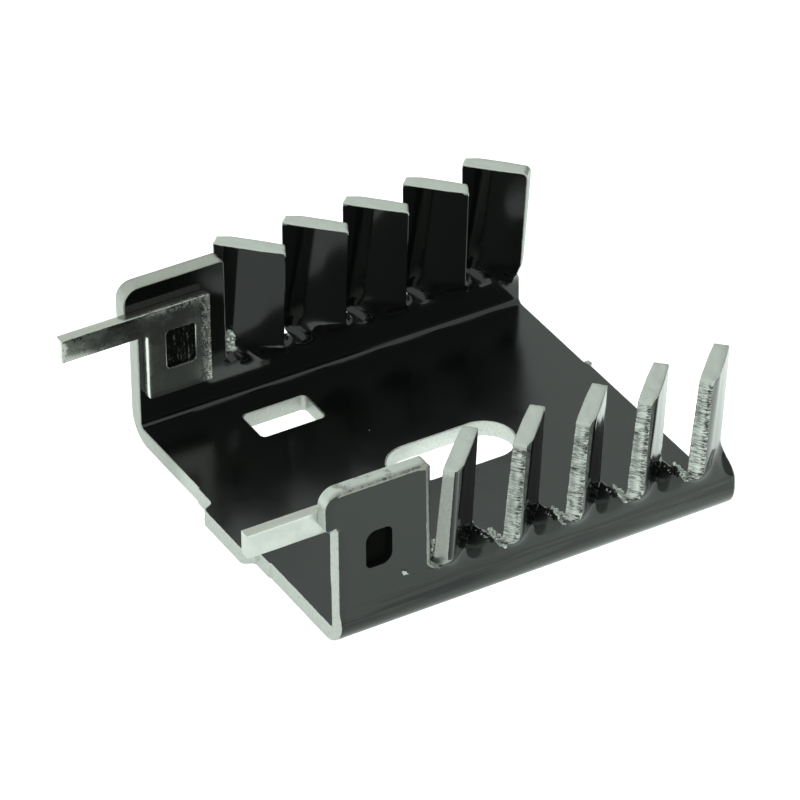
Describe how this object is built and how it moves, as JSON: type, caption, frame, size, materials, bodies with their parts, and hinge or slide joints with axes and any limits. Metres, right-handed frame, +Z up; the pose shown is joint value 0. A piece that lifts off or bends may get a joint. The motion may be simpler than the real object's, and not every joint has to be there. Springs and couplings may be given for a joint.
{
  "type": "transistor heat sink",
  "caption": "Black folded aluminium channel heat sink with twisted lanced fins, a slotted screw hole and staked solder pins.",
  "frame": {"origin": "middle of the screw slot, on the underside of the base", "axes": "+Y from the pin end to the fin end, along the slot; +Z up through the base, towards the open side of the channel; +X to the wall without the base window"},
  "size_m": [0.032, 0.0365, 0.0125],
  "materials": {
    "black_sheet": "black semi-gloss coating, bright raw edges where the sheet was cut",
    "tinned_steel": "mottled tin plating"
  },
  "bodies": {
    "root": {"folded_heat_sink": "black_sheet", "solder_pin_right": "tinned_steel", "solder_pin_left": "tinned_steel"}
  },
  "joints": []
}
